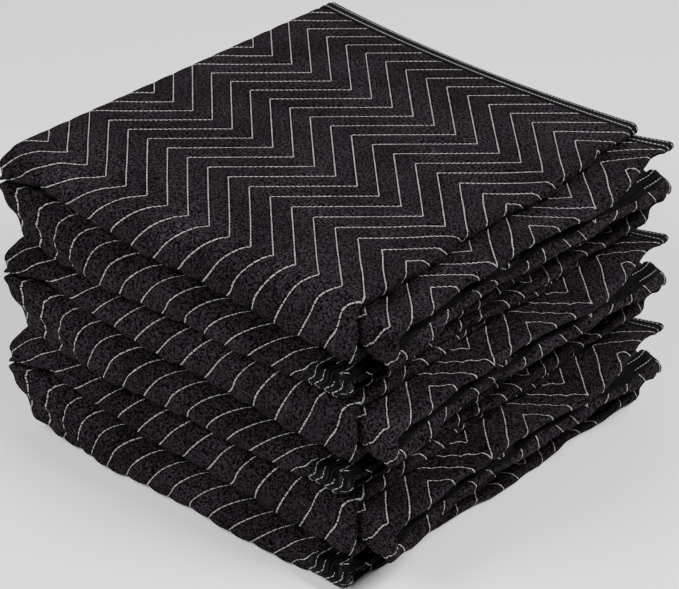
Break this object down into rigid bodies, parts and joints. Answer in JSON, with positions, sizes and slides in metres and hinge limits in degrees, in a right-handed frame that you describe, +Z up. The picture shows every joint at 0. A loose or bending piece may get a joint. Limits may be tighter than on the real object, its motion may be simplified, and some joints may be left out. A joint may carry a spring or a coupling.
{
  "type": "moving blanket stack",
  "caption": "Stack of quilted moving blankets with bound edges, each folded into a flat square pad and laid on the one below.",
  "frame": {"origin": "centre of the stack's bounding box in plan, on the plane it rests on", "axes": "+Z up through the stack; +X from the wrapped folds towards the lips, where the blankets' free edges show; +Y from the rolled front towards the spines at the back"},
  "size_m": [0.533, 0.5476, 0.3437],
  "materials": {
    "quilted_cloth": "near-black heathered woven cloth, padded and sewn in white chevron lines",
    "binding_tape": "matt black woven edge tape sewn down with white thread"
  },
  "bodies": {
    "root": {"lower_blanket": "quilted_cloth", "lower_binding": "binding_tape", "middle_blanket": "quilted_cloth", "middle_binding": "binding_tape", "upper_blanket": "quilted_cloth", "upper_binding": "binding_tape"}
  },
  "joints": []
}
